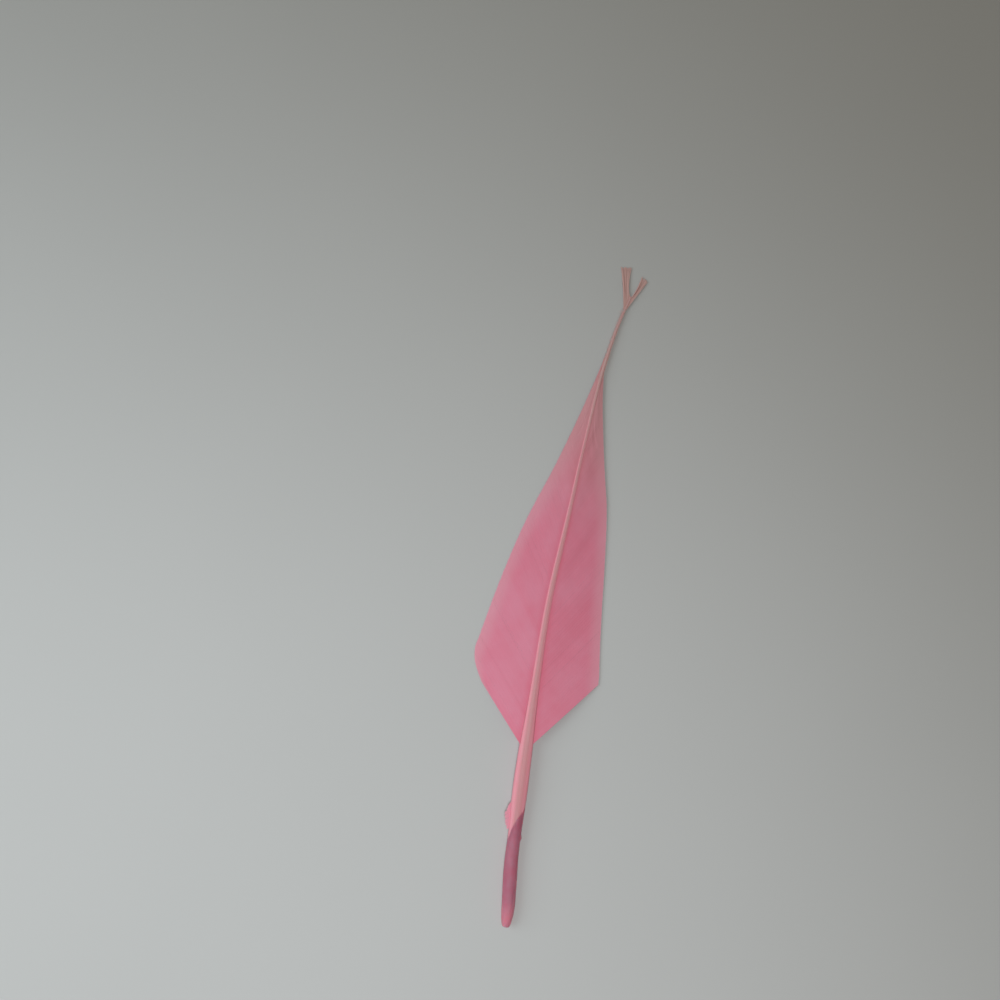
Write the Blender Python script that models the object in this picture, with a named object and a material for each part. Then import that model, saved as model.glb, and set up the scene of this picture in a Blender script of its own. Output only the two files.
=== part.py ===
"""A trimmed and dyed goose quill feather lying on a surface, back side up.

Metres, +Z up. The feather runs along +Y from the end of its quill to the tuft at its tip. While it
is modelled, "along" is the distance from the end of the quill and "across" is the distance to the
right of the straight line from there to the tip. The empty named feather then carries every piece
to the middle of its own box, with the lowest point at z = 0.
"""

from functools import partial

import bmesh
import bpy
import numpy as np
from mathutils import Vector

# ---- driving dimensions ------------------------------------------------------------------

GAP = 0.0003  # between pieces that touch

# The shaft: (along, value) points with smooth curves between them.
SHAFT_LENGTH = 0.1930
SHAFT_BOW = (
    (0.000, 0.0000),
    (0.006, -0.0004),
    (0.012, -0.0012),
    (0.020, -0.0022),
    (0.028, -0.0028),
    (0.045, -0.0040),
    (0.070, -0.0053),
    (0.098, -0.0063),
    (0.125, -0.0055),
    (0.150, -0.0048),
    (0.172, -0.0036),
    (0.186, -0.0015),
    (0.193, 0.0002),
)
SHAFT_WIDTH = (
    (0.008, 0.0041),
    (0.016, 0.0042),
    (0.025, 0.0039),
    (0.043, 0.0046),
    (0.054, 0.0042),
    (0.070, 0.0030),
    (0.085, 0.0024),
    (0.110, 0.0019),
    (0.150, 0.0012),
    (0.176, 0.0009),
    (0.193, 0.0005),
)
SHAFT_ARCH = (
    (0.000, 0.0019),
    (0.012, 0.0020),
    (0.035, 0.0024),
    (0.062, 0.0027),
    (0.090, 0.0026),
    (0.120, 0.0021),
    (0.150, 0.0014),
    (0.176, 0.0009),
    (0.193, 0.0006),
)
SHAFT_FLATTENING = 0.94  # height as a share of width
END_ROUNDING = 0.0085  # the quill's end tapers over this length
END_WIDTH = 0.0016
RACHIS_START = 0.034  # the hollow calamus ends and the solid rachis begins
RACHIS_FULL = 0.060
RACHIS_SQUARENESS = 1.1  # added to the exponent 2 of a round section, below the axis
BACK_SQUARENESS = 0.3  # the same above the axis
GROOVE_DEPTH = 0.16  # of the rachis's height, along its underside
GROOVE_WIDTH = 0.20  # of its width
SHAFT_SIDES = 20
SHAFT_STATIONS = 52

# The hollow of the calamus, open at the quill's end.
HOLE_RADIUS = 0.00042
BORE_WALL = 0.00042
BORE_END = 0.036
BORE_SIDES = 14
BORE_STATIONS = 16

# The vanes. Each barb leaves the shaft's side at an angle and ends at the trimmed edge.
VANE_THICKNESS = 0.0005
VANE_CAMBER_POWER = 1.25
EDGE_REST = 0.0005  # height of the trimmed edge where it comes closest to the surface
EDGE_LIFT = 0.0009  # how much higher the edge runs near the tip
WIDEST_AT = 0.079
BARB_ROOT_HEIGHT = 0.28  # of the shaft's height, above its axis
LEFT_VANE = {
    "side": -1,
    "first_root": 0.0552,
    "last_root": 0.1665,
    "barb_angle": (43.5, 20.0),
    "edge": (
        (0.0600, -0.0150),
        (0.0706, -0.0214),
        (0.0758, -0.0243),
        (0.0803, -0.0253),
        (0.0835, -0.0248),
        (0.0964, -0.0228),
        (0.1210, -0.0177),
        (0.1400, -0.0120),
        (0.1530, -0.0086),
        (0.1670, -0.0054),
        (0.1760, -0.0036),
    ),
}
RIGHT_VANE = {
    "side": 1,
    "first_root": 0.0560,
    "last_root": 0.1625,
    "barb_angle": (37.5, 18.0),
    "edge": (
        (0.0560, 0.0142),
        (0.0768, 0.0133),
        (0.0785, 0.0131),
        (0.0864, 0.0118),
        (0.1000, 0.0098),
        (0.1153, 0.0077),
        (0.1300, 0.0052),
        (0.1400, 0.0026),
        (0.1500, 0.0002),
        (0.1600, -0.0020),
        (0.1700, -0.0036),
    ),
}
BARB_ROWS = 30
BARB_STEPS = 6

# The two plumes of the V at the tip: middle line points (across, along, height) and widths.
TUFT_THICKNESS = 0.0005
LEFT_PLUME = {
    "line": ((-0.0013, 0.1908, 0.0006), (-0.0021, 0.1962, 0.0005), (-0.0029, 0.2014, 0.00027)),
    "widths": (0.0006, 0.0023, 0.0031),
}
RIGHT_PLUME = {
    "line": ((0.0011, 0.1928, 0.0006), (0.0022, 0.1957, 0.0005), (0.0033, 0.1990, 0.00027)),
    "widths": (0.0005, 0.0018, 0.0020),
}
PLUME_STEPS = 6

# The torn sliver of vane base on the left of the shaft: (along, width) points.
REMNANT_WIDTHS = ((0.0298, 0.0004), (0.0315, 0.0010), (0.0332, 0.0014), (0.0352, 0.0012), (0.0375, 0.0004))
REMNANT_THICKNESS = 0.0004
REMNANT_HEIGHT = 0.10  # of the shaft's height, above its axis
REMNANT_STEPS = 7

HORN_PINK = (0.52, 0.19, 0.24)
VANE_PINK = (0.56, 0.22, 0.29)
TUFT_PINK = (0.45, 0.20, 0.23)


# ---- curves ------------------------------------------------------------------------------


def smooth(points, at):
    """A smooth curve through (distance, value) points, read at the distances in at.

    Each span is a cubic whose slopes at its ends are those of its neighbours.
    """
    knots, values = np.array(points).T
    slopes = np.gradient(values, knots)
    low = np.clip(np.searchsorted(knots, at) - 1, 0, len(knots) - 2)
    span = knots[low + 1] - knots[low]
    t = (at - knots[low]) / span
    return (
        values[low] * (1 - t) ** 2 * (1 + 2 * t)
        + values[low + 1] * t**2 * (3 - 2 * t)
        + span * t * (1 - t) * (slopes[low] * (1 - t) - slopes[low + 1] * t)
    )


def ease(start, end, at):
    """0 before start, 1 after end, and a smooth step between."""
    t = np.clip((at - start) / (end - start), 0, 1)
    return t * t * (3 - 2 * t)


def shaft_width(along):
    full = smooth(SHAFT_WIDTH, np.maximum(along, SHAFT_WIDTH[0][0]))
    rounding = np.clip(along / END_ROUNDING, 0, 1)
    taper = np.sqrt(1 - (1 - rounding) ** 2)
    return END_WIDTH + (full - END_WIDTH) * taper


def shaft_height(along):
    return SHAFT_FLATTENING * shaft_width(along)


# ---- the shaft ---------------------------------------------------------------------------


def shaft_section(along):
    """Points around the shaft: round on the calamus, squarer with a groove below on the rachis."""
    rachis = ease(RACHIS_START, RACHIS_FULL, along)
    turn = np.arange(SHAFT_SIDES) * 2 * np.pi / SHAFT_SIDES + np.pi / 2
    squareness = np.where(np.sin(turn) > 0, BACK_SQUARENESS, RACHIS_SQUARENESS)
    power = 2 / (2 + squareness * rachis)
    half_width = shaft_width(along) / 2
    half_height = shaft_height(along) / 2
    across = half_width * np.sign(np.cos(turn)) * np.abs(np.cos(turn)) ** power
    height = half_height * np.sign(np.sin(turn)) * np.abs(np.sin(turn)) ** power
    hollow = np.exp(-((across / (GROOVE_WIDTH * 2 * half_width)) ** 2))
    groove = GROOVE_DEPTH * rachis * 2 * half_height * hollow
    return across, np.where(height < 0, height + groove, height)


def bore_radius(along):
    """The calamus's inside: a small hole at the end, full width behind it, a dome at its top."""
    full = shaft_width(along) / 2 - BORE_WALL
    inside = ease(BORE_WALL, END_ROUNDING, along)
    left = np.clip((BORE_END - along) / (2 * full), 0.02, 1)
    dome = np.sqrt(1 - (1 - left) ** 2)
    return HOLE_RADIUS + (full - HOLE_RADIUS) * inside * dome


def ring(bm, across, along, height):
    """Vertices around the shaft's axis at one distance along it, joined by edges in a loop."""
    middle = float(smooth(SHAFT_BOW, along))
    axis = float(smooth(SHAFT_ARCH, along))
    verts = [bm.verts.new((middle + x, along, axis + z)) for x, z in zip(across, height)]
    return [bm.edges.new((a, b)) for a, b in zip(verts, verts[1:] + verts[:1])]


def skin(bm, rings):
    """Bridges each ring to the next one and closes both ends."""
    for lower, upper in zip(rings, rings[1:]):
        bmesh.ops.bridge_loops(bm, edges=lower + upper)
    bmesh.ops.holes_fill(bm, edges=rings[0] + rings[-1], sides=0)
    bmesh.ops.triangulate(bm, faces=[f for f in bm.faces if len(f.verts) > 4])
    bmesh.ops.recalc_face_normals(bm, faces=bm.faces)


def shaft_mesh(bm):
    spread = np.linspace(0, 1, SHAFT_STATIONS)
    stations = SHAFT_LENGTH * (0.35 * spread + 0.65 * spread**1.8)
    rings = []
    for along in stations:
        across, height = shaft_section(along)
        rings.append(ring(bm, across, along, height))
    skin(bm, rings)


def bore_mesh(bm):
    turn = np.arange(BORE_SIDES) * 2 * np.pi / BORE_SIDES
    spread = np.linspace(0, 1, BORE_STATIONS)
    inside = BORE_END * (0.5 - 0.5 * np.cos(np.pi * spread))
    rings = []
    for along in (-END_WIDTH, *inside):
        radius = bore_radius(max(along, 0))
        rings.append(ring(bm, radius * np.cos(turn), along, SHAFT_FLATTENING * radius * np.sin(turn)))
    skin(bm, rings)


# ---- the vanes, the tuft and the sliver -------------------------------------------------


def barb_length(vane, root_across, root_along, angle):
    """How far each barb runs from its root to the trimmed edge, by halving the span it ends in."""
    near = np.zeros_like(root_along)
    far = np.full_like(root_along, 0.05)
    for _ in range(40):
        middle = (near + far) / 2
        across = root_across + vane["side"] * middle * np.sin(angle)
        edge = smooth(vane["edge"], root_along + middle * np.cos(angle))
        beyond = vane["side"] * (across - edge) > 0
        far = np.where(beyond, middle, far)
        near = np.where(beyond, near, middle)
    return near


def vane_surface(vane, row, out):
    """A point of the vane: row from 0 at the lowest barb to 1 at the last, out along the barb."""
    root_along = vane["first_root"] + (vane["last_root"] - vane["first_root"]) * row
    clear = shaft_width(root_along) / 2 + GAP
    root_across = smooth(SHAFT_BOW, root_along) + vane["side"] * clear
    angle = np.radians(vane["barb_angle"][0] + (vane["barb_angle"][1] - vane["barb_angle"][0]) * row)
    reach = out * barb_length(vane, root_across, root_along, angle)
    along = root_along + reach * np.cos(angle)
    across = root_across + vane["side"] * reach * np.sin(angle)
    root_height = smooth(SHAFT_ARCH, root_along) + BARB_ROOT_HEIGHT * shaft_height(root_along)
    lift = EDGE_LIFT * ((along - WIDEST_AT) / (SHAFT_LENGTH - WIDEST_AT)) ** 2
    edge_height = np.minimum(EDGE_REST + lift, root_height)
    height = root_height + (edge_height - root_height) * out**VANE_CAMBER_POWER
    return np.stack((across, along, height), axis=-1)


def plume_surface(plume, row, out):
    """A flat blade along the plume's middle line; out runs from 0 at its left edge to 1."""
    line = np.array(plume["line"])
    stops = (0, 0.5, 1)
    middle = np.stack([smooth(tuple(zip(stops, line[:, i])), row) for i in range(3)], axis=-1)
    width = smooth(tuple(zip(stops, plume["widths"])), row)
    middle[..., 0] += width * (out - 0.5)
    return middle


def remnant_surface(row, out):
    """A narrow flap beside the shaft's left side, out from 0 at the shaft to 1 at its free edge."""
    first, last = REMNANT_WIDTHS[0][0], REMNANT_WIDTHS[-1][0]
    along = first + (last - first) * row
    root = smooth(SHAFT_BOW, along) - shaft_width(along) / 2 - GAP
    across = root - out * smooth(REMNANT_WIDTHS, along)
    height = smooth(SHAFT_ARCH, along) + REMNANT_HEIGHT * shaft_height(along) + 0 * out
    return np.stack((across, along, height), axis=-1)


def sheet_mesh(bm, surface, rows, steps):
    """A grid whose two directions become the row and out of a surface function."""
    bmesh.ops.create_grid(bm, x_segments=steps, y_segments=rows, size=1.0)
    grid = np.array([vert.co[:2] for vert in bm.verts]) / 2 + 0.5
    for vert, place in zip(bm.verts, surface(grid[:, 1], grid[:, 0])):
        vert.co = place


# ---- objects -----------------------------------------------------------------------------


def material(name, colour, roughness):
    made = bpy.data.materials.new(name)
    made.use_nodes = True
    shader = made.node_tree.nodes["Principled BSDF"]
    shader.inputs["Base Color"].default_value = (*colour, 1)
    shader.inputs["Roughness"].default_value = roughness
    shader.inputs["Metallic"].default_value = 0
    return made


def add_piece(name, build, finish, parent):
    bm = bmesh.new()
    build(bm)
    mesh = bpy.data.meshes.new(name)
    bm.to_mesh(mesh)
    bm.free()
    mesh.shade_smooth()
    piece = bpy.data.objects.new(name, mesh)
    bpy.context.collection.objects.link(piece)
    piece.parent = parent
    if finish:
        mesh.materials.append(finish)
    return piece


def add_sheet(name, surface, rows, steps, thickness, finish, parent):
    build = partial(sheet_mesh, surface=surface, rows=rows, steps=steps)
    piece = add_piece(name, build, finish, parent)
    solid = piece.modifiers.new("thickness", "SOLIDIFY")
    solid.thickness = thickness
    solid.offset = 0
    return piece


def add_shaft(finish, parent):
    shaft = add_piece("shaft", shaft_mesh, finish, parent)
    bore = add_piece("calamus_bore", bore_mesh, None, parent)
    bore.hide_render = True
    bore.display_type = "WIRE"
    hollow = shaft.modifiers.new("hollow calamus", "BOOLEAN")
    hollow.operation = "DIFFERENCE"
    hollow.object = bore
    return shaft


def settle(parent, pieces):
    """Centres the pieces' box over the origin and sets its lowest point on z = 0."""
    bpy.context.view_layer.update()
    graph = bpy.context.evaluated_depsgraph_get()
    shown = [piece.evaluated_get(graph) for piece in pieces]
    corners = np.array([piece.matrix_world @ Vector(c) for piece in shown for c in piece.bound_box])
    low = corners.min(axis=0)
    high = corners.max(axis=0)
    parent.location = (-(low[0] + high[0]) / 2, -(low[1] + high[1]) / 2, -low[2])


def main():
    for thing in list(bpy.data.objects):
        bpy.data.objects.remove(thing)
    horn = material("shaft_horn", HORN_PINK, 0.35)
    web = material("vane_barbs", VANE_PINK, 0.6)
    down = material("tuft_barbs", TUFT_PINK, 0.8)
    feather = bpy.data.objects.new("feather", None)
    bpy.context.collection.objects.link(feather)

    pieces = [add_shaft(horn, feather)]
    for name, vane in (("vane_left", LEFT_VANE), ("vane_right", RIGHT_VANE)):
        surface = partial(vane_surface, vane)
        pieces.append(add_sheet(name, surface, BARB_ROWS, BARB_STEPS, VANE_THICKNESS, web, feather))
    for name, plume in (("tip_tuft_left", LEFT_PLUME), ("tip_tuft_right", RIGHT_PLUME)):
        surface = partial(plume_surface, plume)
        pieces.append(add_sheet(name, surface, PLUME_STEPS, 2, TUFT_THICKNESS, down, feather))
    pieces.append(
        add_sheet("vane_remnant", remnant_surface, REMNANT_STEPS, 2, REMNANT_THICKNESS, web, feather)
    )
    settle(feather, pieces)


main()
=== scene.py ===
# %% [markdown]
# # A dyed goose quill feather
#
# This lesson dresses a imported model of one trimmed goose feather. The model gives a shaft, two
# vanes, a torn sliver and the two plumes of a tuft, each as one plain solid at its real size. Here
# every one of them is replaced by what the real piece is made of: a horn tube that turns into a
# pith-filled rod, and hundreds of barbs. All lengths are metres. A feather grows along its shaft,
# so most shapes are written with "along", the distance from the end of the quill, and "across",
# the distance to the right of the straight line from there to the tip.

# %% Load the frame
from functools import partial

import bpy
import numpy as np
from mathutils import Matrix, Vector


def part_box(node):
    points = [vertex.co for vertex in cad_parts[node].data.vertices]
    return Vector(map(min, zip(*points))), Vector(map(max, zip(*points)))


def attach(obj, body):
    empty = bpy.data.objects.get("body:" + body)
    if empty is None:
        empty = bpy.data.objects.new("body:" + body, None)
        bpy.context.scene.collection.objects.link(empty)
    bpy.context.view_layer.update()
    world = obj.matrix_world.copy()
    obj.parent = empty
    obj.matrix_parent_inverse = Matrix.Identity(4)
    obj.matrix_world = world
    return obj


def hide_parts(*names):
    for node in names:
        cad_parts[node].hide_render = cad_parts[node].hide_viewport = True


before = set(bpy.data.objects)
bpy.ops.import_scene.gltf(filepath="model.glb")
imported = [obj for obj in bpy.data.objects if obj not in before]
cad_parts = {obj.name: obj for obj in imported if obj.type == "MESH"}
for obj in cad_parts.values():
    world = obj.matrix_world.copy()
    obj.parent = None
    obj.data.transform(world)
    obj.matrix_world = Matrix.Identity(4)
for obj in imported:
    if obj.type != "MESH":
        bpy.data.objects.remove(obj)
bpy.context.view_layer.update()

print("pieces in the frame:", ", ".join(sorted(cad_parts)))

# %% [markdown]
# ## Curves through a few points
#
# The outline of a feather is a free curve, so it is described by the few points that give it its
# character, and a smooth line is drawn through them. Blender's curve objects could do this too,
# but a plain function can be asked for its value at thousands of places at once. Living things
# are never quite even, so a second function gives a line that wanders at random, the same way on
# every run.

# %% Smooth curves, steps and wandering lines
RANDOM_TABLE = 4096


def smooth(points, at):
    """A smooth curve through (distance, value) points, read at the distances in at.

    Each span is a cubic whose slopes at its ends are those of its neighbours.
    """
    knots, values = np.array(points).T
    slopes = np.gradient(values, knots)
    low = np.clip(np.searchsorted(knots, at) - 1, 0, len(knots) - 2)
    span = knots[low + 1] - knots[low]
    t = (at - knots[low]) / span
    return (
        values[low] * (1 - t) ** 2 * (1 + 2 * t)
        + values[low + 1] * t**2 * (3 - 2 * t)
        + span * t * (1 - t) * (slopes[low] * (1 - t) - slopes[low + 1] * t)
    )


def ease(start, end, at):
    """0 before start, 1 after end, and in between 3 t squared less 2 t cubed."""
    t = np.clip((at - start) / (end - start), 0, 1)
    return t * t * (3 - 2 * t)


def wander(at, step, seed):
    """A smooth random line between -1 and 1: a random height at every step, joined by easing."""
    heights = np.random.default_rng(seed).uniform(-1, 1, RANDOM_TABLE)
    place = np.asarray(at) / step
    low = np.floor(place).astype(int)
    t = place - low
    t = t * t * (3 - 2 * t)
    return heights[low % RANDOM_TABLE] * (1 - t) + heights[(low + 1) % RANDOM_TABLE] * t


print("half way up a step:", ease(0, 1, 0.5))
print("two places on a wandering line:", wander([0.11, 0.23], 0.05, 1).round(2))

# %% [markdown]
# ## The shaft's lines
#
# Three curves carry everything else: how the shaft bows to the side, how it arches over the
# surface, and how thick it is. They are the same curves that the solid shaft was built from, and
# each has only the points that give it its character.

# %% The shaft's bow, arch and thickness
SHAFT_LENGTH = 0.1930
SHAFT_BOW = (
    (0.000, 0.0000),
    (0.006, -0.0004),
    (0.012, -0.0012),
    (0.020, -0.0022),
    (0.028, -0.0028),
    (0.045, -0.0040),
    (0.070, -0.0053),
    (0.098, -0.0063),
    (0.125, -0.0055),
    (0.150, -0.0048),
    (0.172, -0.0036),
    (0.186, -0.0015),
    (0.193, 0.0002),
)
SHAFT_WIDTH = (
    (0.008, 0.0041),
    (0.016, 0.0042),
    (0.025, 0.0039),
    (0.043, 0.0046),
    (0.054, 0.0042),
    (0.070, 0.0030),
    (0.085, 0.0024),
    (0.110, 0.0019),
    (0.150, 0.0012),
    (0.176, 0.0009),
    (0.193, 0.0005),
)
SHAFT_ARCH = (
    (0.000, 0.0019),
    (0.012, 0.0020),
    (0.035, 0.0024),
    (0.062, 0.0027),
    (0.090, 0.0026),
    (0.120, 0.0021),
    (0.150, 0.0014),
    (0.176, 0.0009),
    (0.193, 0.0006),
)
SHAFT_FLATTENING = 0.94
END_ROUNDING = 0.0085
END_WIDTH = 0.0016


def shaft_width(along):
    """The curve through the widths, rounded off at the quill's end like a quarter of an ellipse."""
    full = smooth(SHAFT_WIDTH, np.maximum(along, SHAFT_WIDTH[0][0]))
    rounding = np.clip(along / END_ROUNDING, 0, 1)
    return END_WIDTH + (full - END_WIDTH) * np.sqrt(1 - (1 - rounding) ** 2)


def shaft_height(along):
    """A fixed share of the width."""
    return SHAFT_FLATTENING * shaft_width(along)


for station in (0.004, 0.043, 0.150):
    print(f"{1000 * station:.0f} mm from the end it is {1000 * shaft_width(station):.1f} mm wide")

# %% [markdown]
# ## Where "along" and "across" begin
#
# The frame knows where the solid shaft lies. Its box touches the shaft's left side, the end of the
# quill and the highest point of the arch, and the curves know how far those three are from their
# own zero. The difference is the place from which everything is measured.

# %% The origin of the curves
every = np.linspace(0, SHAFT_LENGTH, 2001)
shaft_low, shaft_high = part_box("shaft")
ORIGIN = np.array(
    (
        shaft_low[0] - (smooth(SHAFT_BOW, every) - shaft_width(every) / 2).min(),
        shaft_low[1],
        shaft_high[2] - (smooth(SHAFT_ARCH, every) + shaft_height(every) / 2).max(),
    )
)


def place(across, along, height):
    """Points of the object's own space: the three distances added to the origin found above."""
    return np.stack(np.broadcast_arrays(across, along, height), axis=-1) + ORIGIN


print("the quill's end is at, mm:", (1000 * place(0, 0, 0)).round(2))

# %% [markdown]
# ## From arrays to a mesh
#
# Every piece here is a tube of some kind: a ring of points carried along a path, with its ends
# closed. A vane is hundreds of such tubes in one mesh. The points are one array, with an index for
# the tube, the step along it and the place around it, so the faces are the same index array
# shifted by one step or by one place. The volume that the faces close tells whether they point
# outwards: it comes out negative when they don't.

# %% Faces of closed tubes and the volume inside them
def face_lists(count, steps, sides):
    """Quads between neighbouring rings, then one cap for each tube's start and one for its end."""
    index = np.arange(count * steps * sides).reshape(count, steps, sides)
    around = np.roll(index, -1, axis=2)
    walls = (index[:, :-1], around[:, :-1], around[:, 1:], index[:, 1:])
    quads = np.stack(walls, axis=-1).reshape(-1, 4)
    caps = np.concatenate((index[:, 0, ::-1], index[:, -1]))
    return quads, caps


def signed_volume(points, quads, caps):
    """A sixth of the sum, over triangles, of the triple product of their corners."""
    fans = [quads[:, [0, 1, 2]], quads[:, [0, 2, 3]]]
    fans += [caps[:, [0, i, i + 1]] for i in range(1, caps.shape[1] - 1)]
    a, b, c = np.moveaxis(points[np.concatenate(fans)], 1, 0)
    return np.einsum("ij,ij->", a, np.cross(b, c)) / 6


print("a square tube of two steps has", [len(faces) for faces in face_lists(1, 2, 4)], "walls and caps")

# %% [markdown]
# ## From faces to a piece
#
# A whole vane goes into Blender with a few foreach_set calls, which take flat arrays and are far
# quicker than adding one face at a time. Named attributes travel with the points and later tell
# the material where on a barb it is. Edges that turn by more than 40 degrees stay sharp, such as
# the cut ends, and all others are shaded smooth.

# %% One object made of closed tubes
SHARP_ABOVE = np.radians(40)


def tube_piece(name, points, attributes):
    """An object made of closed tubes: points has the axes tube, step, side and x y z."""
    count, steps, sides = points.shape[:3]
    quads, caps = face_lists(count, steps, sides)
    flat = points.reshape(-1, 3)
    volume = signed_volume(flat - flat.mean(axis=0), quads, caps)
    if volume < 0:
        quads, caps = quads[:, ::-1], caps[:, ::-1]
    corners = np.concatenate((quads.ravel(), caps.ravel())).astype(np.int32)
    totals = np.repeat((4, sides), (len(quads), len(caps))).astype(np.int32)
    mesh = bpy.data.meshes.new(name)
    mesh.vertices.add(len(flat))
    mesh.vertices.foreach_set("co", flat.astype(np.float32).ravel())
    mesh.loops.add(len(corners))
    mesh.loops.foreach_set("vertex_index", corners)
    mesh.polygons.add(len(totals))
    mesh.polygons.foreach_set("loop_start", (np.cumsum(totals) - totals).astype(np.int32))
    mesh.polygons.foreach_set("loop_total", totals)
    mesh.update(calc_edges=True)
    for label, values in attributes.items():
        spread = np.broadcast_to(values, points.shape[:3]).astype(np.float32)
        mesh.attributes.new(label, "FLOAT", "POINT").data.foreach_set("value", spread.ravel())
    mesh.shade_smooth()
    mesh.set_sharp_from_angle(angle=SHARP_ABOVE)
    piece = bpy.data.objects.new(name, mesh)
    bpy.context.collection.objects.link(piece)
    triangles = 2 * len(quads) + (sides - 2) * len(caps)
    print(f"{name}: {count} tubes, {triangles} triangles, {abs(volume) * 1e9:.0f} cubic mm")
    return piece


print("edges stay sharp above", round(np.degrees(SHARP_ABOVE)), "degrees")

# %% [markdown]
# ## Nodes by name
#
# Materials are built from nodes. They could be laid out by hand in the shader editor, but a few
# small helpers make a finish as readable as a recipe: one adds a node and sets its inputs, where
# an input may be a number, a colour or another node's output, and the others make sums, mix
# colours and read the attributes that the meshes carry.

# %% Adding nodes
def node(tree, kind, inputs=(), **settings):
    """A new node of that kind with its settings and inputs; an input is a value or a socket."""
    made = tree.nodes.new(kind)
    for label, value in settings.items():
        setattr(made, label, value)
    for socket, value in dict(inputs).items():
        if isinstance(value, bpy.types.NodeSocket):
            tree.links.new(value, made.inputs[socket])
        else:
            made.inputs[socket].default_value = value
    return made


def maths(tree, operation, *values):
    """The output of a Math node."""
    return node(tree, "ShaderNodeMath", dict(enumerate(values)), operation=operation).outputs[0]


def remap(tree, value, low, high, to_low=0.0, to_high=1.0):
    """value taken from the range low to high into another one, with soft ends."""
    sockets = {"Value": value, 1: low, 2: high, 3: to_low, 4: to_high}
    return node(tree, "ShaderNodeMapRange", sockets, interpolation_type="SMOOTHSTEP").outputs[0]


print("helpers for values:", node.__name__, maths.__name__, remap.__name__)


# %% Mixing colours, reading attributes and starting a material
def blend_colours(tree, share, first, second):
    """A colour between first and second; share 0 gives the first."""
    mixer = node(tree, "ShaderNodeMix", data_type="RGBA")
    for socket, value in ((0, share), (6, first), (7, second)):
        if isinstance(value, bpy.types.NodeSocket):
            tree.links.new(value, mixer.inputs[socket])
        else:
            mixer.inputs[socket].default_value = value if socket == 0 else (*value, 1)
    return mixer.outputs[2]


def attribute(tree, label):
    """The value of a named attribute of the mesh."""
    return node(tree, "ShaderNodeAttribute", attribute_name=label).outputs["Fac"]


def new_material(name):
    """An empty node material, its tree and its output node."""
    made = bpy.data.materials.new(name)
    made.use_nodes = True
    made.node_tree.nodes.clear()
    return made, made.node_tree, node(made.node_tree, "ShaderNodeOutputMaterial")


print("helpers for colours:", blend_colours.__name__, attribute.__name__, new_material.__name__)

# %% [markdown]
# ## Uneven dye
#
# Dye never takes evenly on keratin: it pools in soft patches. That shows on the shaft, on the
# vanes and on the tuft, each at its own scale, so it is one node group with a patch size, built
# once and placed in each material.

# %% A node group for uneven dye
def new_group(name, inputs, outputs):
    """An empty shader node group with named number or vector sockets."""
    group = bpy.data.node_groups.new(name, "ShaderNodeTree")
    for label, kind, value in inputs:
        socket = group.interface.new_socket(label, in_out="INPUT", socket_type=kind)
        if kind == "NodeSocketFloat":
            socket.default_value = value
    for label, kind in outputs:
        group.interface.new_socket(label, in_out="OUTPUT", socket_type=kind)
    return group, group.nodes.new("NodeGroupInput").outputs, group.nodes.new("NodeGroupOutput").inputs


def uneven_dye_group():
    """Noise of a given patch size, its middle tones spread to the range 0 to 1."""
    inputs = (("Place", "NodeSocketVector", None), ("Patch Size", "NodeSocketFloat", 0.01))
    group, given, result = new_group("uneven dye", inputs, (("Mask", "NodeSocketFloat"),))
    per_metre = maths(group, "DIVIDE", 1.0, given["Patch Size"])
    sockets = {"Vector": given["Place"], "Scale": per_metre, "Detail": 3.0, "Roughness": 0.6}
    cloud = node(group, "ShaderNodeTexNoise", sockets)
    group.links.new(remap(group, cloud.outputs[0], 0.32, 0.68), result["Mask"])
    return group


UNEVEN_DYE = uneven_dye_group()


def uneven_dye(tree, patch_size):
    """The dye group placed in a material, reading Object coordinates."""
    spot = node(tree, "ShaderNodeTexCoord").outputs["Object"]
    sockets = {"Place": spot, "Patch Size": patch_size}
    return node(tree, "ShaderNodeGroup", sockets, node_tree=UNEVEN_DYE).outputs["Mask"]


print("shared effect:", UNEVEN_DYE.name)

# %% [markdown]
# ## Barbules
#
# Barbules are the side branches of a barb, and they hook into those of its neighbour. They lie at
# a steep angle to the barb and mirror each other on its two sides, like a herringbone. There are
# far too many to model, so a second node group draws them as fine slanted lines, and the
# material uses those as height and as tone.

# %% A node group for barbules
def barbules_group():
    """A sine of the distance along the barb plus the distance from its ridge."""
    inputs = (
        ("From Shaft", "NodeSocketFloat", 0.0),
        ("From Ridge", "NodeSocketFloat", 0.0),
        ("Pitch", "NodeSocketFloat", 0.00006),
        ("Slant", "NodeSocketFloat", 1.2),
    )
    group, given, result = new_group("barbules", inputs, (("Height", "NodeSocketFloat"),))
    aside = maths(group, "ABSOLUTE", given["From Ridge"])
    lean = maths(group, "MULTIPLY", aside, given["Slant"])
    run = maths(group, "SUBTRACT", given["From Shaft"], lean)
    turns = maths(group, "DIVIDE", run, given["Pitch"])
    wave = maths(group, "SINE", maths(group, "MULTIPLY", turns, 2 * np.pi))
    group.links.new(maths(group, "MULTIPLY_ADD", wave, 0.5, 0.5), result["Height"])
    return group


BARBULES = barbules_group()


def barbules(tree, pitch):
    """The barbule group placed in a material, reading the barb attributes of the mesh."""
    run, aside = attribute(tree, "from_shaft"), attribute(tree, "from_ridge")
    sockets = {"From Shaft": run, "From Ridge": aside, "Pitch": pitch}
    return node(tree, "ShaderNodeGroup", sockets, node_tree=BARBULES).outputs["Height"]


print("shared effect:", BARBULES.name)
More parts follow.
